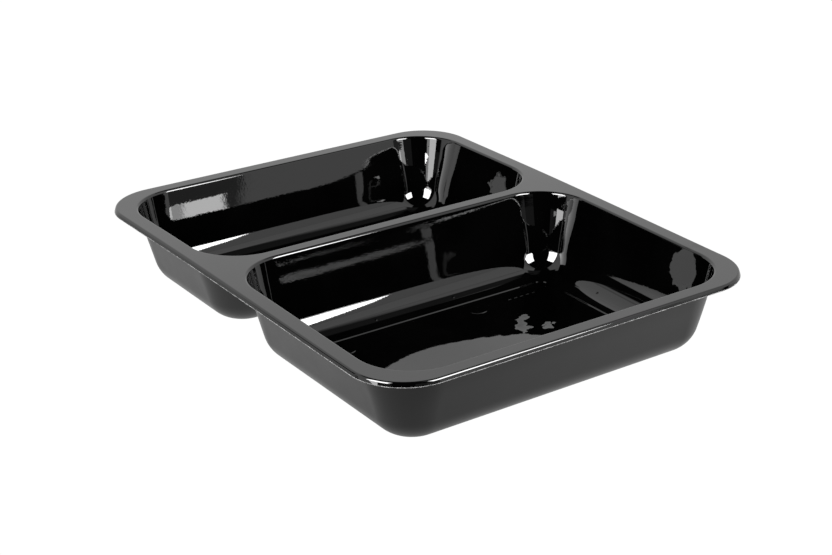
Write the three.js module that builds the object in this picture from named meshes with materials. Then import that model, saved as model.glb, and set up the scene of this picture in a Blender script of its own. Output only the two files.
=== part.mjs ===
// Two-compartment food tray, thermoformed from one plastic sheet.
// Millimetres, +Z up. The origin is the middle of the footprint, on the surface the tray stands on.
// X runs along the tray and across the divider, with the larger compartment on +X.

import * as THREE from "three";
import { mergeVertices } from "three/addons/utils/BufferGeometryUtils.js";

// Whole tray
const LENGTH = 227;
const WIDTH = 178;
const DEPTH = 35; // from the flat rim down to the surface the tray stands on
const SHEET = 0.6; // wall thickness after forming

// Rim
const RIM_CORNER_R = 23; // outline, seen from above
const RIM_ROUND_R = 1.5; // where the flat rim turns down into its lip
const LIP_DROP = 1.9; // from the flat rim to the cut edge of the lip
const DIVIDER_RISE = 0.65; // the rim arches up a little over the divider

// Compartments, measured where the flat rim starts to round down into them
const END_BORDER = 6.4;
const SIDE_BORDER = 6.9;
const FAR_COMPARTMENT_LENGTH = 89.45;
const NEAR_COMPARTMENT_LENGTH = 120.5;
const MOUTH_CORNER_R = 23.6;
const MOUTH_ROUND_R = 1.6;
const WALL_DRAFT = THREE.MathUtils.degToRad(14.5);
const FLOOR_FILLET_R = 12;

// Floor: a flat panel, a little lower than the border around it
const PANEL_INSET = 19.8; // from the mouth to the panel's edge
const PANEL_STEP = 0.4;
const PANEL_STEP_RUN = 0.7;

// Facets
const CORNER_STEPS = 8; // per quarter turn, even, so that a corner can be split at its middle
const SIDE_STEPS = 6;
const ROUND_STEPS = 3;
const FILLET_STEPS = 6;
const CLOSE = 1e-3; // lengths, and fractions of a turn, that differ by less are the same

const DIVIDER_FLAT = LENGTH - 2 * END_BORDER - FAR_COMPARTMENT_LENGTH - NEAR_COMPARTMENT_LENGTH;
const DIVIDER_X = END_BORDER + FAR_COMPARTMENT_LENGTH + DIVIDER_FLAT / 2 - LENGTH / 2;
const WALL_TILT = Math.PI / 2 - WALL_DRAFT; // the wall's slope from the horizontal

/** Evenly spaced numbers from one end to the other, leaving out the last. */
function steps(from, to, count) {
  return Array.from({ length: count }, (_, k) => THREE.MathUtils.lerp(from, to, k / count));
}

/**
 * The section of a compartment, from the flat rim to the floor panel. Each entry gives the inset from
 * the mouth, the depth below the flat rim and the slope of the sheet there.
 */
function compartmentSection() {
  const borderDepth = DEPTH - SHEET - PANEL_STEP;
  const wallTop = {
    inset: MOUTH_ROUND_R * Math.sin(WALL_TILT),
    depth: MOUTH_ROUND_R * (1 - Math.cos(WALL_TILT)),
  };
  const wallFoot = { depth: borderDepth - FLOOR_FILLET_R * (1 - Math.cos(WALL_TILT)) };
  wallFoot.inset = wallTop.inset + (wallFoot.depth - wallTop.depth) * Math.tan(WALL_DRAFT);

  const section = [];
  for (const slope of [...steps(0, WALL_TILT, ROUND_STEPS), WALL_TILT]) {
    section.push({
      inset: MOUTH_ROUND_R * Math.sin(slope),
      depth: MOUTH_ROUND_R * (1 - Math.cos(slope)),
      slope,
    });
  }
  for (const slope of [...steps(WALL_TILT, 0, FILLET_STEPS), 0]) {
    section.push({
      inset: wallFoot.inset + FLOOR_FILLET_R * (Math.sin(WALL_TILT) - Math.sin(slope)),
      depth: borderDepth - FLOOR_FILLET_R * (1 - Math.cos(slope)),
      slope,
    });
  }
  section.push({ inset: PANEL_INSET, depth: borderDepth, slope: 0 });
  section.push({ inset: PANEL_INSET + PANEL_STEP_RUN, depth: DEPTH - SHEET, slope: 0 });
  return section;
}

/**
 * Stations round one compartment's mouth, counter-clockwise, with u measured from the middle of the
 * divider towards the tray's end. Each holds the mouth point, the direction away from the compartment,
 * the point of the flat rim's edge that faces it, and that edge's outward direction. Along the divider
 * the facing point is on its middle line, and has no outward direction.
 */
function mouthStations(compartmentLength) {
  const mouth = {
    u0: DIVIDER_FLAT / 2,
    u1: DIVIDER_FLAT / 2 + compartmentLength,
    v: WIDTH / 2 - SIDE_BORDER,
    r: MOUTH_CORNER_R,
  };
  const edge = {
    u1: mouth.u1 + END_BORDER - RIM_ROUND_R,
    v: WIDTH / 2 - RIM_ROUND_R,
    r: RIM_CORNER_R - RIM_ROUND_R,
  };
  const quarter = Math.PI / 2;
  const stations = [];
  const add = (point, away, facing, out) => stations.push({ point, away, facing, out });

  const arc = (centreU, centreV, start, facingOf) => {
    for (const angle of steps(start, start + quarter, CORNER_STEPS)) {
      const away = [Math.cos(angle), Math.sin(angle)];
      const turn = (angle - start) / quarter;
      const { facing, out } = facingOf(turn, away);
      add([centreU + mouth.r * away[0], centreV + mouth.r * away[1]], away, facing, out);
    }
  };
  const endCorner = (side) => (turn, away) => ({
    facing: [
      edge.u1 - edge.r + edge.r * away[0],
      side * (edge.v - edge.r) + edge.r * away[1],
    ],
    out: away,
  });
  // Half of a divider corner faces the tray's long edge, and half the middle of the divider.
  const dividerCorner = (side) => (turn) => {
    const across = side > 0 ? turn : 1 - turn;
    const alongEdge = across < 0.5 + CLOSE;
    const long = Math.min(across, 0.5) * 2;
    const short = Math.max(across - 0.5, 0) * 2;
    return {
      facing: [
        (mouth.u0 + mouth.r) * (1 - long),
        side * THREE.MathUtils.lerp(edge.v, mouth.v - mouth.r, short),
      ],
      out: alongEdge ? [0, side] : null,
    };
  };

  for (const t of steps(-1, 1, SIDE_STEPS)) {
    add([mouth.u1, t * (mouth.v - mouth.r)], [1, 0], [edge.u1, t * (edge.v - edge.r)], [1, 0]);
  }
  arc(mouth.u1 - mouth.r, mouth.v - mouth.r, 0, endCorner(1));
  for (const t of steps(0, 1, SIDE_STEPS)) {
    const u = THREE.MathUtils.lerp(mouth.u1 - mouth.r, mouth.u0 + mouth.r, t);
    const facingU = THREE.MathUtils.lerp(edge.u1 - edge.r, mouth.u0 + mouth.r, t);
    add([u, mouth.v], [0, 1], [facingU, edge.v], [0, 1]);
  }
  arc(mouth.u0 + mouth.r, mouth.v - mouth.r, quarter, dividerCorner(1));
  for (const t of steps(1, -1, SIDE_STEPS)) {
    const v = t * (mouth.v - mouth.r);
    add([mouth.u0, v], [-1, 0], [0, v], null);
  }
  arc(mouth.u0 + mouth.r, mouth.r - mouth.v, 2 * quarter, dividerCorner(-1));
  for (const t of steps(0, 1, SIDE_STEPS)) {
    const u = THREE.MathUtils.lerp(mouth.u0 + mouth.r, mouth.u1 - mouth.r, t);
    const facingU = THREE.MathUtils.lerp(mouth.u0 + mouth.r, edge.u1 - edge.r, t);
    add([u, -mouth.v], [0, -1], [facingU, -edge.v], [0, -1]);
  }
  arc(mouth.u1 - mouth.r, mouth.r - mouth.v, 3 * quarter, endCorner(-1));
  return stations;
}

/** Collects triangles and arches them over the divider. */
class Skin {
  constructor() {
    this.positions = [];
  }

  vertex([x, y, depth]) {
    const reach = x < DIVIDER_X ? DIVIDER_X + LENGTH / 2 : LENGTH / 2 - DIVIDER_X;
    const nearness = (1 + Math.cos((Math.PI * (x - DIVIDER_X)) / reach)) / 2;
    const z = DEPTH - depth;
    this.positions.push(x, y, z + (DIVIDER_RISE * nearness * z) / DEPTH);
  }

  triangle(a, b, c, flipped) {
    for (const corner of flipped ? [a, c, b] : [a, b, c]) this.vertex(corner);
  }

  /** A band between two rings of as many points, the first outside or above the second. */
  band(outer, inner, flipped) {
    outer.forEach((a, k) => {
      const next = (k + 1) % outer.length;
      this.triangle(a, outer[next], inner[next], flipped);
      this.triangle(a, inner[next], inner[k], flipped);
    });
  }

  /** Closes a ring with a fan round its middle. */
  cap(ring, flipped) {
    const middle = [0, 1, 2].map((axis) => ring.reduce((sum, p) => sum + p[axis], 0) / ring.length);
    ring.forEach((a, k) => this.triangle(a, ring[(k + 1) % ring.length], middle, flipped));
  }

  geometry() {
    const geometry = new THREE.BufferGeometry();
    geometry.setAttribute("position", new THREE.Float32BufferAttribute(this.positions, 3));
    const welded = mergeVertices(geometry, CLOSE);
    welded.computeVertexNormals();
    return welded;
  }
}

/** Both faces of one compartment and of the flat rim round it. */
function addCompartment(skin, stations, side) {
  const section = compartmentSection();
  const place = ([u, v], depth) => [DIVIDER_X + side * u, v, depth];
  const mirrored = side < 0;

  const rings = (thickness) =>
    section.map(({ inset, depth, slope }) => {
      const in_ = inset - thickness * Math.sin(slope);
      const down = depth + thickness * Math.cos(slope);
      return stations.map(({ point, away }) =>
        place([point[0] - away[0] * in_, point[1] - away[1] * in_], down),
      );
    });

  for (const thickness of [0, SHEET]) {
    const flipped = mirrored !== thickness > 0;
    const rimEdge = stations.map(({ facing }) => place(facing, thickness));
    const all = [rimEdge, ...rings(thickness)];
    for (let k = 0; k + 1 < all.length; k += 1) skin.band(all[k], all[k + 1], flipped);
    skin.cap(all[all.length - 1], flipped);
  }
}

/** The stations of the whole rim's edge, counter-clockwise, from those of the two compartments. */
function rimStations(near, far) {
  const onEdge = (stations, side) =>
    stations
      .filter(({ out }) => out)
      .map(({ facing, out }) => ({
        point: [DIVIDER_X + side * facing[0], facing[1]],
        out: [side * out[0], out[1]],
      }));
  const angle = ({ point }) => Math.atan2(point[1], point[0]);
  const loop = [...onEdge(near, 1), ...onEdge(far, -1)].sort((a, b) => angle(a) - angle(b));
  return loop.filter((station, k) => {
    const before = loop[(k + loop.length - 1) % loop.length].point;
    return Math.hypot(station.point[0] - before[0], station.point[1] - before[1]) > CLOSE;
  });
}

/** The rounding of the rim, its down-turned lip and the cut edge below. */
function addLip(skin, stations) {
  const ring = (reach, depth) =>
    stations.map(({ point, out }) => [point[0] + out[0] * reach, point[1] + out[1] * reach, depth]);
  const turned = (thickness) => {
    const radius = RIM_ROUND_R - thickness;
    const bends = [...steps(0, Math.PI / 2, ROUND_STEPS), Math.PI / 2].map((slope) =>
      ring(radius * Math.sin(slope), thickness + radius * (1 - Math.cos(slope))),
    );
    return [...bends, ring(radius, LIP_DROP)];
  };
  const top = turned(0);
  const under = turned(SHEET);
  for (let k = 0; k + 1 < top.length; k += 1) {
    skin.band(top[k + 1], top[k], false);
    skin.band(under[k + 1], under[k], true);
  }
  skin.band(top[top.length - 1], under[under.length - 1], true);
}

function trayGeometry() {
  const near = mouthStations(NEAR_COMPARTMENT_LENGTH);
  const far = mouthStations(FAR_COMPARTMENT_LENGTH);
  const skin = new Skin();
  addCompartment(skin, near, 1);
  addCompartment(skin, far, -1);
  addLip(skin, rimStations(near, far));
  return skin.geometry();
}

const blackPlastic = new THREE.MeshStandardMaterial({ color: 0x101112, roughness: 0.2, metalness: 0 });

const shell = new THREE.Mesh(trayGeometry(), blackPlastic);
shell.name = "tray";

const tray = new THREE.Group();
tray.add(shell);

export default tray;
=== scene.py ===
"""Two-compartment food tray, formed from one sheet of glossy black plastic.

Metres, +Z up. The origin is the middle of the footprint, on the surface the tray stands on. X runs
across the divider, with the larger compartment on +X.
"""

import math

import bmesh
import bpy
from mathutils import Matrix, Vector


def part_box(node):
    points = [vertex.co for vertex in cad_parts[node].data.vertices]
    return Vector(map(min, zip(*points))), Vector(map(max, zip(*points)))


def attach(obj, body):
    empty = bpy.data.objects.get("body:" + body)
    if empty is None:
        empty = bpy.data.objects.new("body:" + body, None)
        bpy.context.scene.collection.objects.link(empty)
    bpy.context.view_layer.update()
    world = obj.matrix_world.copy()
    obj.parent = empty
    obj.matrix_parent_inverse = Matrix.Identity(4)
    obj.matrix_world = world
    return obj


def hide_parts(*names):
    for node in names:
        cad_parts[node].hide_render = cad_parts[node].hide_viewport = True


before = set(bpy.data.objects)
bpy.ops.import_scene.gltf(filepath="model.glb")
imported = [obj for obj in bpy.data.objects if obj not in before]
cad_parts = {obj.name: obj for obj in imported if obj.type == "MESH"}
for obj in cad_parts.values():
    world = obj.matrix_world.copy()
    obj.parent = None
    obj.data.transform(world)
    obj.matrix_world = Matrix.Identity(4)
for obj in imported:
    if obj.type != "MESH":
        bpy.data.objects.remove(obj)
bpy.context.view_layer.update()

MM = 0.001


def mm(*values):
    return tuple(value * MM for value in values)


# Whole tray
tray_low, tray_high = (Vector(corner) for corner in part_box("tray"))
LENGTH = tray_high.x - tray_low.x
WIDTH = tray_high.y - tray_low.y
DEPTH = 35 * MM  # from the flat rim down to the surface the tray stands on
DIVIDER_RISE = tray_high.z - DEPTH  # the rim arches up a little over the divider
SHEET = 0.6 * MM

# Rim
RIM_CORNER_R = 23 * MM
RIM_EDGE = 1.4 * MM  # from the end of the flat rim to the tray's outline
LIP_ROUND_R = 0.95 * MM
LIP_SLOPE = math.radians(72)
LIP_DROP = 1.9 * MM
TORN_HEIGHT = 0.26 * MM  # of the lowest part of the lip, left rough and light by the cutting tool
CUT_ROUND_WIDTH = 0.06 * MM
CUT_ROUND_STEPS = 2
CUT_ANGLE = math.radians(50)  # only edges sharper than this are rounded

# Compartments, measured where the flat rim starts to round down into them
END_BORDER = 6.4 * MM
SIDE_BORDER = 6.9 * MM
FAR_LENGTH = 89.45 * MM
NEAR_LENGTH = 120.5 * MM
MOUTH_CORNER_R = 23.6 * MM
MOUTH_ROUND_R = 1.2 * MM
# The walls are slightly bowed, so their draft in degrees is given at shares of the way down
WALL_DRAFTS = ((0, 13.5), (0.24, 14.4), (0.36, 15.9), (0.55, 16.5), (0.7, 15.4), (0.85, 14.5), (1, 14.2))
NEAR_CORNER_DRAFTS = ((0, 12.4), (0.23, 12.4), (0.3, 14.6), (0.35, 14.6), (0.41, 13.5), (0.55, 13.7),
                      (0.8, 14.2), (1, 16))
FAR_CORNER_DRAFTS = ((0, 12.5), (0.2, 12.5), (0.3, 14.3), (0.9, 14.3), (1, 16))
FLOOR_FILLET_R = 12 * MM
PANEL_INSET = 19.7 * MM
PANEL_STEP = 0.4 * MM
PANEL_STEP_RUN = 0.3 * MM

DIVIDER_FLAT = LENGTH - 2 * END_BORDER - FAR_LENGTH - NEAR_LENGTH
DIVIDER_X = END_BORDER + FAR_LENGTH + DIVIDER_FLAT / 2 - LENGTH / 2
# The compartments: side of the divider, length, drafts of the corners
COMPARTMENTS = ((1, NEAR_LENGTH, NEAR_CORNER_DRAFTS), (-1, FAR_LENGTH, FAR_CORNER_DRAFTS))

# Finishes
OUTER_FACE, CUT_EDGE = 1, 2  # the shell's material slots, after the inner face in slot 0
REFRACTION = 1.575
CLOUD_DETAIL = 3
CLOUD_SPREAD = (0.35, 0.65)  # of the noise, from the first tone and roughness to the second
FLOOR_TO_WALL = mm(1, 5)  # heights between which the unevenness grows from the floor's to the wall's
# Random unevenness as (size, height, detail, share left on the floor)
INNER_UNEVENNESS = (
    (24 * MM, 0.05 * MM, 1, 0.3),
    (2.0 * MM, 0.003 * MM, 1, 0.3),
    (0.7 * MM, 0.0026 * MM, 1, 0.4),
)
OUTER_UNEVENNESS = ((20 * MM, 0.10 * MM, 1, 1.0), (0.5 * MM, 0.006 * MM, 2, 1.0))
TORN_UNEVENNESS = ((0.8 * MM, 0.08 * MM, 3, 1.0),)
# Each finish: two tones, two roughnesses, size of the clouds that mix them, unevenness
GLOSSY = ((0.0002, 0.0004), (0.015, 0.025), 30 * MM, INNER_UNEVENNESS)
SATIN = ((0.0004, 0.0008), (0.28, 0.32), 15 * MM, OUTER_UNEVENNESS)
TORN = ((0.03, 0.12), (0.5, 0.7), 1.5 * MM, TORN_UNEVENNESS)

# Raised marks of the mould in the larger compartment, placed as (x, y)
MARK_RISE = 0.15 * MM
DISCS = (mm(13.8, 21.6), mm(14.0, -44.0))
DISC_R = 4.5 * MM
DISC_RUN = 0.8 * MM  # of the slope round its edge
PIMPLES = (mm(0.8, -20.5), mm(0.8, 18.5), mm(35.0, 69.6))
PIMPLE_R = 0.35 * MM
PIMPLE_RUN = 0.5 * MM
BARS_X = mm(9, 14)
BARS_Y = mm(37.5, 53.5)
BAR_PITCH = 3.2 * MM
BAR_WIDTH = 1.85 * MM
BAR_RISE = 0.12 * MM
BAR_RUN = 0.5 * MM
# A fine line left by the mould round the foot of the walls
MOULD_LINE_Z = mm(2.15, 2.35)
MOULD_LINE_RISE = 0.015 * MM
MOULD_LINE_SOFT = 0.09 * MM  # half width of its two slopes

# Places that aren't quite flat, which lean only in the shading
FLOOR_WAY = Vector((0.7941, -0.6078, 0))  # the level direction that the floor leans in
PANEL_HEIGHTS = mm(0.95, 0.7)  # no floor leans above the first, and all of it does below the second
BROAD_LEAN = (mm(30, -18), 55 * MM, 3.2)  # centre as (x, y), how far round, degrees
SPOTS = (  # small places on the floor, each with its centre as (x, y) and how far round it goes
    (mm(26.5, 36.8), 3.4 * MM),
    (mm(30.0, 34.2), 3.6 * MM),
    (mm(33.2, 31.6), 3.6 * MM),
    (mm(36.4, 29.0), 3.6 * MM),
    (mm(39.6, 26.2), 4.0 * MM),
    (mm(43.3, 39.0), 3.6 * MM),
    (mm(46.3, 36.6), 3.6 * MM),
)
SPOT_DEGREES = 5.0
SIDE_WALL_Y = mm(72, 75)  # the dents are in the walls on +Y, from here on
DENTS = (  # centre as (x, z), how far round, degrees along the wall and upward
    (mm(76.8, 27), 10 * MM, 3.2, 5.0),
    (mm(-48, 25), 7 * MM, 6.5, 7.0),
)
WAVE_SIZE = 5 * MM  # of the waves in the outlines of all of them
WAVE_DEPTH = 10 * MM
WAVE_DETAIL = 2

# How finely curves are divided
CORNER_STEPS = 24
SIDE_PITCH = 3 * MM
ROUND_STEPS = 10
FILLET_STEPS = 22
WALL_STEPS = 20
SUPPORT = 0.12 * MM  # a ring this close keeps a flat face flat next to a curved one
CLOSE = 1e-6

# Camera, which frames a picture 832 pixels wide and 555 high
IMAGE_WIDTH = 832
FOCAL_PX = 1738.92
OPTICAL_AXIS_PX = 510.31  # from the picture's left edge
SENSOR = 36.0
NEAREST_SEEN = 10 * MM
CAMERA_AZIMUTH = math.radians(52.5723)
CAMERA_ELEVATION = math.radians(23.488)
CAMERA_ROLL = math.radians(0.6507)
CAMERA_DISTANCE = 676.84 * MM
CAMERA_TARGET = Vector((58.218, 5.010, 35.0)) * MM

AWAY = Vector((-math.sin(CAMERA_AZIMUTH), math.cos(CAMERA_AZIMUTH), 0))
RIGHT = Vector((math.cos(CAMERA_AZIMUTH), math.sin(CAMERA_AZIMUTH), 0))

# Studio
WHITE = 1.02  # radiance of the table and of the backdrop as the camera sees them
TABLE_R = 6
TABLE_SIDES = 96
TABLE_GAP = 0.02 * MM  # below the tray
TABLE_MIRRORED = (0.42, 0.68)  # radiance of the table as the tray mirrors it, near side and far side
# Painted shade on the mirrored table: darkest up to the first distance along AWAY, least from the second
# on
TABLE_DULL_AT = -180 * MM
TABLE_BRIGHT_AT = -40 * MM
ONE_MIRRORING = 2.5  # light that the tray has mirrored twice has a ray depth beyond this
SECOND_MIRRORING = 0.02  # how much of the backdrop's light is left when it is mirrored twice
SECOND_SOFTBOX_MIRRORING = 0.5
# Cards round the tray: left and right bearing from straight away from the camera, bottom and top height
# (all in degrees), half width of the soft edge, radiance
CARDS = (
    (-160, -125, 5, 10, 0.5, 0.12),
    (-125, -86, -30, 72, 2, 1.0),
    (-86, -74, 25, 58, 2, 0.9),
    (-74, 15, -30, 50, 2, 1.0),
    (15, 58, -30, 51, 2, 0.9),
    (58, 80, -30, 60, 3, 1.0),
    (80, 104, 3.2, 74, 1, 1.1),
    (104, 116.2, 3.2, 74, 0.15, 0.95),
    (116.2, 140, 3.8, 12, 0.3, 0.25),
    (140, 160, 4.5, 10, 0.4, 0.12),
    (20, 80, 50, 88, 6, 0.09),
)
SOFTBOX_ORIGIN = Vector((0, 65 * MM, DEPTH))
# Upright softboxes: name, then their two ends as (right, away) of the camera, bottom, top, radiance
SOFTBOXES = (
    ("left_softbox", (-0.394, -0.308), (-0.203, -0.457), 0.070, 0.491, 26),
    ("left_softbox_lower_edge", (-0.394, -0.308), (-0.279, -0.397), 0.025, 0.070, 8),
    ("left_softbox_foot", (-0.279, -0.397), (-0.232, -0.435), 0.044, 0.070, 3),
    ("right_softbox", (0.360, -0.208), (0.232, -0.386), 0.090, 0.433, 26),
    ("right_softbox_lower_edge", (0.351, -0.227), (0.330, -0.250), 0.050, 0.090, 8),
    ("right_softbox_foot", (0.330, -0.250), (0.275, -0.329), 0.050, 0.090, 4),
)


def link(obj):
    bpy.context.scene.collection.objects.link(obj)
    return obj


# ---------------------------------------------------------------- camera

def add_camera():
    data = bpy.data.cameras.new("camera")
    data.sensor_width = SENSOR
    data.lens = FOCAL_PX * SENSOR / IMAGE_WIDTH
    data.shift_x = 0.5 - OPTICAL_AXIS_PX / IMAGE_WIDTH
    data.clip_start = NEAREST_SEEN
    back = -AWAY * math.cos(CAMERA_ELEVATION) + Vector((0, 0, math.sin(CAMERA_ELEVATION)))
    upright = back.cross(RIGHT)
    right = RIGHT * math.cos(CAMERA_ROLL) + upright * math.sin(CAMERA_ROLL)
    up = upright * math.cos(CAMERA_ROLL) - RIGHT * math.sin(CAMERA_ROLL)
    turn = Matrix((right, up, back)).transposed().to_4x4()
    camera = link(bpy.data.objects.new("camera", data))
    camera.matrix_world = Matrix.Translation(CAMERA_TARGET + back * CAMERA_DISTANCE) @ turn
    bpy.context.scene.camera = camera


# ---------------------------------------------------------------- materials

class Nodes:
    """Short forms for the nodes of one tree."""

    def __init__(self, tree):
        self.tree = tree

    def link(self, output, socket):
        self.tree.links.new(output, socket)

    def add(self, kind, inputs=None, **settings):
        node = self.tree.nodes.new("ShaderNode" + kind)
        for name, value in settings.items():
            setattr(node, name, value)
        for name, value in (inputs or {}).items():
            if isinstance(value, bpy.types.NodeSocket):
                self.link(value, node.inputs[name])
            else:
                node.inputs[name].default_value = value
        return node

    def math(self, operation, a, b=0.0):
        return self.add("Math", {0: a, 1: b}, operation=operation).outputs[0]

    def noise(self, place, size, detail):
        inputs = {"Vector": place, "Scale": 1 / size, "Detail": detail}
        return self.add("TexNoise", inputs).outputs["Fac"]

    def ramp(self, value, start, end, low=0.0, high=1.0):
        """From low to high, smoothly, as the value goes from start to end."""
        inputs = {"Value": value, "From Min": start, "From Max": end, "To Min": low, "To Max": high}
        return self.add("MapRange", inputs, interpolation_type="SMOOTHSTEP").outputs["Result"]

    def within(self, value, low, high, soft):
        """One between low and high, and nought outside them."""
        rise = self.ramp(value, low - soft, low + soft)
        fall = self.ramp(value, high + soft, high - soft)
        return self.math("MULTIPLY", rise, fall)

    def flat(self, across, up):
        """Two of an object's coordinates as a place on a flat face."""
        return self.add("CombineXYZ", {"X": across, "Y": up}).outputs["Vector"]

    def distance(self, flat, centre):
        return self.add("VectorMath", {0: flat, 1: (*centre, 0)}, operation="DISTANCE").outputs["Value"]

    def mirrored_once_or(self, share):
        """One, but only this share where a light is seen by way of two mirrorings."""
        depth = self.add("LightPath").outputs["Ray Depth"]
        again = self.math("GREATER_THAN", depth, ONE_MIRRORING)
        return self.math("SUBTRACT", 1.0, self.math("MULTIPLY", again, 1 - share))

    def seen_or_mirrored(self, mirrored):
        """White to the camera, and the given radiance to the tray."""
        seen = self.add("LightPath").outputs["Is Camera Ray"]
        return self.add("Mix", {"Factor": seen, 2: mirrored, 3: WHITE}, data_type="FLOAT").outputs[0]


def uneven_normal(nodes, place, height, unevenness):
    normal = nodes.add("NewGeometry").outputs["Normal"]
    for size, rise, detail, on_floor in unevenness:
        relief = nodes.noise(place, size, detail)
        strength = nodes.ramp(height, *FLOOR_TO_WALL, on_floor, 1.0)
        normal = nodes.add("Bump", {"Height": relief, "Distance": rise, "Strength": strength,
                                    "Normal": normal}).outputs["Normal"]
    return normal


def plastic(name, tones, roughnesses, cloud, unevenness, *details):
    """Plastic that drifts between two tones and two roughnesses in clouds of a given size.

    Each detail is a function that returns the surface's normal with something added to it.
    """
    material = bpy.data.materials.new(name)
    material.use_nodes = True
    nodes = Nodes(material.node_tree)
    shader = material.node_tree.nodes["Principled BSDF"]
    place = nodes.add("TexCoord").outputs["Object"]
    part = nodes.add("SeparateXYZ", {0: place}).outputs
    clouds = nodes.noise(place, cloud, CLOUD_DETAIL)
    nodes.link(nodes.ramp(clouds, *CLOUD_SPREAD, *tones), shader.inputs["Base Color"])
    nodes.link(nodes.ramp(clouds, *CLOUD_SPREAD, *roughnesses), shader.inputs["Roughness"])
    shader.inputs["IOR"].default_value = REFRACTION
    normal = uneven_normal(nodes, place, part["Z"], unevenness)
    for detail in details:
        normal = detail(nodes, place, part, normal)
    nodes.link(normal, shader.inputs["Normal"])
    return material


def raise_mould_marks(nodes, place, part, normal):
    """Adds the low relief that the mould leaves: discs, pimples, a row of bars and a fine line."""
    floor = nodes.flat(part["X"], part["Y"])
    height = 0.0
    for centres, radius, run in ((DISCS, DISC_R, DISC_RUN), (PIMPLES, PIMPLE_R, PIMPLE_RUN)):
        for centre in centres:
            away = nodes.distance(floor, centre)
            mark = nodes.ramp(away, radius + run / 2, radius - run / 2, 0.0, MARK_RISE)
            height = nodes.math("ADD", mark, height)

    soft = BAR_RUN / 2
    along = nodes.math("MODULO", nodes.math("SUBTRACT", part["Y"], BARS_Y[0]), BAR_PITCH)
    bars = nodes.math("MULTIPLY", nodes.within(along, soft, soft + BAR_WIDTH, soft),
                      nodes.within(part["X"], *BARS_X, soft))
    row = nodes.math("MULTIPLY", bars, nodes.within(part["Y"], *BARS_Y, soft))
    height = nodes.math("ADD", height, nodes.math("MULTIPLY", row, BAR_RISE))

    line = nodes.within(part["Z"], *MOULD_LINE_Z, MOULD_LINE_SOFT)
    height = nodes.math("ADD", height, nodes.math("MULTIPLY", line, MOULD_LINE_RISE))
    return nodes.add("Bump", {"Height": height, "Distance": 1.0, "Normal": normal}).outputs["Normal"]


def lean_uneven_places(nodes, place, part, normal):
    """Lets the floor lean a little where it isn't quite flat, and dents the walls on +Y."""
    shift = nodes.math("SUBTRACT", nodes.noise(place, WAVE_SIZE, WAVE_DETAIL), 0.5)
    waves = nodes.math("MULTIPLY", shift, WAVE_DEPTH)

    def lean(normal, flat, centre, outer, inner, where, way):
        away = nodes.math("ADD", nodes.distance(flat, centre), waves)
        share = nodes.math("MULTIPLY", nodes.ramp(away, outer, inner), where)
        tip = nodes.add("VectorMath", {0: way, "Scale": share}, operation="SCALE").outputs["Vector"]
        return nodes.add("VectorMath", {0: normal, 1: tip}, operation="ADD").outputs["Vector"]

    on_floor = nodes.ramp(part["Z"], *PANEL_HEIGHTS)
    floor = nodes.flat(part["X"], part["Y"])
    floor_leans = [BROAD_LEAN] + [(*spot, SPOT_DEGREES) for spot in SPOTS]
    for centre, reach, degrees in floor_leans:
        way = FLOOR_WAY * math.tan(math.radians(degrees))
        normal = lean(normal, floor, centre, reach, 0.0, on_floor, way)

    on_wall = nodes.ramp(part["Y"], *SIDE_WALL_Y)
    wall = nodes.flat(part["X"], part["Z"])
    for centre, reach, along, up in DENTS:
        way = (math.tan(math.radians(along)), 0, math.tan(math.radians(up)))
        normal = lean(normal, wall, centre, reach, reach / 2, on_wall, way)
    return nodes.add("VectorMath", {0: normal}, operation="NORMALIZE").outputs["Vector"]


# ---------------------------------------------------------------- tray

def interpolate(pairs, x):
    """The value at x of a line through (x, value) pairs, held level beyond its ends."""
    for (start, value), (end, next_value) in zip(pairs, pairs[1:]):
        if x <= end:
            return value + (next_value - value) * max(0, x - start) / (end - start)
    return pairs[-1][1]


def wall_slope(share, drafts=WALL_DRAFTS):
    """The wall's slope from level at this share of the way down."""
    return math.radians(90 - interpolate(drafts, share))


def round_over(radius, slope):
    """Rings of a rounding that starts level, as (reach, drop)."""
    angles = [slope * k / ROUND_STEPS for k in range(1, ROUND_STEPS + 1)]
    return [(radius * math.sin(angle), radius * (1 - math.cos(angle))) for angle in angles]


def wall_ends():
    """Depths below the rim at which the wall starts, at its top, and ends, at its foot."""
    top = MOUTH_ROUND_R * (1 - math.cos(wall_slope(0)))
    foot = DEPTH - SHEET - PANEL_STEP - FLOOR_FILLET_R * (1 - math.cos(wall_slope(1)))
    return top, foot


def corner_bow(drafts):
    """How far a corner's wall stands out beyond the sides' walls, as (depth, distance) pairs."""
    depth, foot = wall_ends()
    drop = (foot - depth) / WALL_STEPS
    bow = 0
    pairs = [(0, 0), (depth, 0)]
    for k in range(WALL_STEPS):
        share = (k + 0.5) / WALL_STEPS
        bow += drop / math.tan(wall_slope(share)) - drop / math.tan(wall_slope(share, drafts))
        depth += drop
        pairs.append((depth, bow))
    return pairs + [(DEPTH, 0)]


def compartment_section():
    """Rings of a compartment, from its mouth to the floor panel, as (inset, depth) below the rim."""
    rings = [(0, 0)] + round_over(MOUTH_ROUND_R, wall_slope(0))
    inset, depth = rings[-1]
    drop = (wall_ends()[1] - depth) / WALL_STEPS
    for k in range(WALL_STEPS):
        inset += drop / math.tan(wall_slope((k + 0.5) / WALL_STEPS))
        depth += drop
        rings.append((inset, depth))

    border_depth = DEPTH - SHEET - PANEL_STEP
    fillet_end = inset + FLOOR_FILLET_R * math.sin(wall_slope(1))
    for k in range(1, FILLET_STEPS + 1):
        slope = wall_slope(1) * (1 - k / FILLET_STEPS)
        rings.append((fillet_end - FLOOR_FILLET_R * math.sin(slope),
                      border_depth - FLOOR_FILLET_R * (1 - math.cos(slope))))
    rings.append((PANEL_INSET - SUPPORT, border_depth))
    rings.append((PANEL_INSET, border_depth))
    rings.append((PANEL_INSET + PANEL_STEP_RUN, DEPTH - SHEET))
    rings.append((PANEL_INSET + PANEL_STEP_RUN + SUPPORT, DEPTH - SHEET))
    return rings


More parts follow.
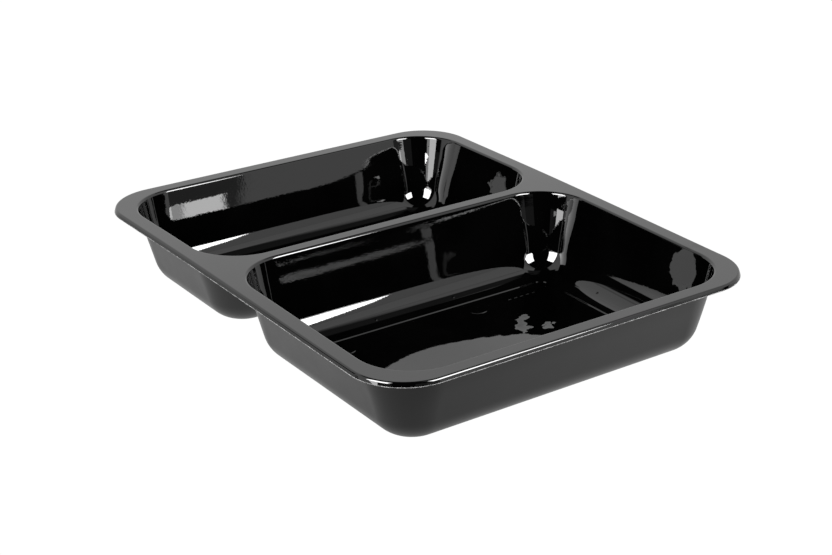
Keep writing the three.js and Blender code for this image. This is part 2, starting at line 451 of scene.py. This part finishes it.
def way_out(co, core):
    """The nearest point of a core rectangle, given as (low, high), and the level direction from it."""
    low, high = core
    held = Vector((min(max(co.x, low.x), high.x), min(max(co.y, low.y), high.y)))
    return held, (co.xy - held).normalized()


def mouth_core(side, length):
    """The rectangle that a compartment's corners are struck from."""
    near = DIVIDER_X + side * (DIVIDER_FLAT / 2 + MOUTH_CORNER_R)
    end = DIVIDER_X + side * (DIVIDER_FLAT / 2 + length - MOUTH_CORNER_R)
    half = WIDTH / 2 - SIDE_BORDER - MOUTH_CORNER_R
    return Vector((min(near, end), -half)), Vector((max(near, end), half))


def add_mouth(bm, core):
    """A flat face just wider than a compartment's mouth, its straight sides divided evenly."""
    radius = MOUTH_CORNER_R + SUPPORT
    x_low, y_low = core[0] - Vector((radius, radius))
    x_high, y_high = core[1] + Vector((radius, radius))
    corners = [(x_low, y_low), (x_high, y_low), (x_high, y_high), (x_low, y_high)]
    square = bm.faces.new([bm.verts.new((x, y, DEPTH)) for x, y in corners])
    square.normal_update()
    rounded = bmesh.ops.bevel(bm, geom=square.verts[:], affect="VERTICES", offset=radius,
                              offset_type="OFFSET", segments=CORNER_STEPS, profile=0.5, material=-1)
    face = rounded["verts"][0].link_faces[0]
    for edge in [e for e in face.edges if e.calc_length() > 2 * SIDE_PITCH]:
        cuts = round(edge.calc_length() / SIDE_PITCH) - 1
        bmesh.ops.subdivide_edges(bm, edges=[edge], cuts=cuts)
    face.normal_update()
    return face


def sink_compartment(bm, face):
    """Sets the mouth's face down ring by ring until it is the floor panel."""
    inset, depth = -SUPPORT, 0
    for ring_inset, ring_depth in compartment_section():
        bmesh.ops.inset_region(bm, faces=[face], thickness=ring_inset - inset, use_boundary=True,
                               depth=depth - ring_depth, use_even_offset=True)
        inset, depth = ring_inset, ring_depth


def bow_corners(verts, core, drafts):
    """Gives the corners their own drafts, most of all in the middle of each corner."""
    pairs = corner_bow(drafts)
    for vert in verts:
        out = way_out(vert.co, core)[1]
        reach = interpolate(pairs, DEPTH - vert.co.z) * abs(2 * out.x * out.y)
        vert.co.x += out.x * reach
        vert.co.y += out.y * reach


def facing_point(co, side, core):
    """The point of the flat rim's edge, or of the divider's middle line, opposite a mouth point."""
    held, out = way_out(co, core)
    flat_edge = RIM_EDGE + SUPPORT
    edge_y = WIDTH / 2 - flat_edge
    if out.x * side < -CLOSE:
        turn = math.atan2(abs(out.x), abs(out.y)) / (math.pi / 2)
        middle_of_corner = 0.5
        if turn > 1 - CLOSE:
            return Vector((DIVIDER_X, co.y, DEPTH))
        if turn > middle_of_corner:
            share = (turn - middle_of_corner) / middle_of_corner
            y = held.y * share + math.copysign(edge_y, co.y) * (1 - share)
            return Vector((DIVIDER_X, y, DEPTH))
        share = turn / middle_of_corner
        x = held.x * (1 - share) + DIVIDER_X * share
        return Vector((x, math.copysign(edge_y, co.y), DEPTH))
    radius = RIM_CORNER_R - flat_edge
    corner = Vector((side * (LENGTH / 2 - RIM_CORNER_R), WIDTH / 2 - RIM_CORNER_R))
    start, end = (core[0].x, core[1].x) if side > 0 else (core[1].x, core[0].x)
    x = held.x + (corner.x - end) * (held.x - start) / (end - start)
    y = held.y * corner.y / core[1].y
    return Vector((x + out.x * radius, y + out.y * radius, DEPTH))


def ring_out(bm, edges, place):
    """Extrudes a loop of edges and sets each new point by place, given the point it grew from."""
    grown = bmesh.ops.extrude_edge_only(bm, edges=edges)["geom"]
    for vert in [g for g in grown if isinstance(g, bmesh.types.BMVert)]:
        vert.co = place(vert.co)
    return [g for g in grown if isinstance(g, bmesh.types.BMEdge) and g.is_boundary]


def lip_section():
    """Rings of the rim's lip, as (reach, drop) from the end of the flat rim."""
    rings = [(0, 0)] + round_over(LIP_ROUND_R, LIP_SLOPE)
    reach, drop = rings[-1]
    for low in (LIP_DROP - TORN_HEIGHT, LIP_DROP):
        rings.append((reach + (low - drop) / math.tan(LIP_SLOPE), low))
    return rings


def turn_down_lip(bm, edges):
    """Rounds the flat rim's edge down into its lip, which ends in a rough torn edge."""
    core = Vector((LENGTH / 2 - RIM_CORNER_R, WIDTH / 2 - RIM_CORNER_R))
    reach, drop = -SUPPORT, 0
    for ring_reach, ring_drop in lip_section():
        out, down = ring_reach - reach, ring_drop - drop

        def place(co):
            direction = way_out(co, (-core, core))[1]
            return co + Vector((direction.x * out, direction.y * out, -down))

        edges = ring_out(bm, edges, place)
        reach, drop = ring_reach, ring_drop
    for edge in edges:
        edge.link_faces[0].material_index = CUT_EDGE


def arch_over_divider(bm):
    """Raises the rim in a low arch over the divider, and what hangs below it in proportion."""
    for vert in bm.verts:
        reach = LENGTH / 2 - math.copysign(1, vert.co.x - DIVIDER_X) * DIVIDER_X
        nearness = (1 + math.cos(math.pi * (vert.co.x - DIVIDER_X) / reach)) / 2
        vert.co.z += DIVIDER_RISE * nearness * vert.co.z / DEPTH


def make_skin():
    """The tray's upper face as one open sheet, facing up."""
    bm = bmesh.new()
    for side, length, drafts in COMPARTMENTS:
        made, made_verts = set(bm.edges), set(bm.verts)
        core = mouth_core(side, length)
        sink_compartment(bm, add_mouth(bm, core))
        bow_corners([v for v in bm.verts if v not in made_verts], core, drafts)
        mouth = [e for e in bm.edges if e.is_boundary and e not in made]
        ring_out(bm, mouth, lambda co: facing_point(co, side, core))
    bmesh.ops.remove_doubles(bm, verts=bm.verts, dist=CLOSE)
    turn_down_lip(bm, [e for e in bm.edges if e.is_boundary])
    arch_over_divider(bm)
    bmesh.ops.recalc_face_normals(bm, faces=bm.faces)
    widest = max(bm.faces, key=lambda f: f.calc_area())
    if widest.normal.z < 0:
        bmesh.ops.reverse_faces(bm, faces=bm.faces)
    for face in bm.faces:
        face.smooth = True
    mesh = bpy.data.meshes.new("tray_shell")
    bm.to_mesh(mesh)
    bm.free()
    return mesh


def thicken(shell):
    """Gives the skin its thickness below, and takes the sharpness off its cut edge."""
    wall = shell.modifiers.new("sheet_thickness", "SOLIDIFY")
    wall.thickness = SHEET
    wall.offset = -1
    wall.use_even_offset = True
    wall.use_quality_normals = True
    wall.material_offset = OUTER_FACE
    wall.material_offset_rim = CUT_EDGE
    edge = shell.modifiers.new("cut_edge_rounding", "BEVEL")
    edge.width = CUT_ROUND_WIDTH
    edge.segments = CUT_ROUND_STEPS
    edge.limit_method = "ANGLE"
    edge.angle_limit = CUT_ANGLE
    weigh = shell.modifiers.new("flat_faces_stay_flat", "WEIGHTED_NORMAL")
    weigh.keep_sharp = True


def make_tray_shell():
    mesh = make_skin()
    mesh.materials.append(plastic("glossy_inner_face", *GLOSSY, raise_mould_marks, lean_uneven_places))
    mesh.materials.append(plastic("satin_outer_face", *SATIN))
    mesh.materials.append(plastic("cut_edge", *TORN))
    shell = link(bpy.data.objects.new("tray_shell", mesh))
    thicken(shell)
    return shell


# ---------------------------------------------------------------- studio

def lit_table_material():
    """White to look at. Mirrored in the tray it glows dimmer, with painted shade that is deepest on the
    near side.
    """
    material = bpy.data.materials.new("lit_white_table")
    material.use_nodes = True
    material.node_tree.nodes.clear()
    nodes = Nodes(material.node_tree)
    place = nodes.add("TexCoord").outputs["Object"]
    away = nodes.add("VectorMath", {0: place, 1: AWAY}, operation="DOT_PRODUCT").outputs["Value"]
    # painted shade: the mirrored table glows dimmer towards the near side
    mirrored = nodes.ramp(away, TABLE_DULL_AT, TABLE_BRIGHT_AT, *TABLE_MIRRORED)
    lit = nodes.add("Emission", {"Strength": nodes.seen_or_mirrored(mirrored)}).outputs["Emission"]
    clear = nodes.add("BsdfTransparent").outputs["BSDF"]
    from_below = nodes.add("NewGeometry").outputs["Backfacing"]
    mix = nodes.add("MixShader", {0: from_below, 1: lit, 2: clear})
    nodes.add("OutputMaterial", {"Surface": mix.outputs["Shader"]})
    return material


def add_table():
    """A pale table, lit from below as for a pack shot, so that nothing casts a shadow on it."""
    bm = bmesh.new()
    bmesh.ops.create_circle(bm, cap_ends=True, segments=TABLE_SIDES, radius=TABLE_R)
    bmesh.ops.translate(bm, verts=bm.verts, vec=(0, 0, -TABLE_GAP))
    mesh = bpy.data.meshes.new("table")
    bm.to_mesh(mesh)
    bm.free()
    mesh.materials.append(lit_table_material())
    link(bpy.data.objects.new("table", mesh))


def add_softbox(name, near_edge, far_edge, bottom, top, radiance):
    """An upright lit panel between two level positions, given as (right, away) of the camera."""
    ends = [RIGHT * p[0] + AWAY * p[1] + SOFTBOX_ORIGIN for p in (near_edge, far_edge)]
    across = ends[1] - ends[0]
    width, height = across.length, top - bottom
    data = bpy.data.lights.new(name, "AREA")
    data.shape = "RECTANGLE"
    data.size = width
    data.size_y = height
    data.energy = radiance * math.pi * width * height
    data.use_nodes = True
    data.node_tree.nodes.clear()
    nodes = Nodes(data.node_tree)
    lit = nodes.add("Emission", {"Strength": nodes.mirrored_once_or(SECOND_SOFTBOX_MIRRORING)})
    nodes.add("OutputLight", {"Surface": lit.outputs["Emission"]})
    middle = (ends[0] + ends[1]) / 2 + Vector((0, 0, (bottom + top) / 2))
    facing = Vector((0, 0, 1)).cross(across).normalized()
    if facing.dot(middle - SOFTBOX_ORIGIN) > 0:
        facing = -facing
    turn = facing.to_track_quat("-Z", "Y").to_matrix().to_4x4()
    light = link(bpy.data.objects.new(name, data))
    light.matrix_world = Matrix.Translation(middle) @ turn
    light.visible_camera = False


def add_world():
    """White to look at. What the tray mirrors is the set of cards round it."""
    world = bpy.data.worlds.new("studio")
    bpy.context.scene.world = world
    world.use_nodes = True
    world.node_tree.nodes.clear()
    nodes = Nodes(world.node_tree)
    way = nodes.add("TexCoord").outputs["Generated"]
    turned = nodes.add("Mapping", {"Vector": way, "Rotation": (0, 0, -CAMERA_AZIMUTH)})
    part = nodes.add("SeparateXYZ", {0: turned.outputs["Vector"]}).outputs
    bearing = nodes.math("DEGREES", nodes.math("ARCTAN2", part["X"], part["Y"]))
    height = nodes.math("DEGREES", nodes.math("ARCSINE", part["Z"]))
    light = 0.0
    for left, right, bottom, top, soft, radiance in CARDS:
        across = nodes.within(bearing, left, right, soft)
        card = nodes.math("MULTIPLY", across, nodes.within(height, bottom, top, soft))
        light = nodes.math("MAXIMUM", nodes.math("MULTIPLY", card, radiance), light)
    mirrored = nodes.math("MULTIPLY", light, nodes.mirrored_once_or(SECOND_MIRRORING))
    strength = nodes.seen_or_mirrored(mirrored)
    backdrop = nodes.add("Background", {"Color": (1, 1, 1, 1), "Strength": strength})
    nodes.add("OutputWorld", {"Surface": backdrop.outputs["Background"]})


add_camera()
bpy.context.scene.view_settings.view_transform = "Standard"

shell = make_tray_shell()
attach(shell, "root")
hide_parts("tray")

add_table()
add_world()
for softbox in SOFTBOXES:
    add_softbox(*softbox)
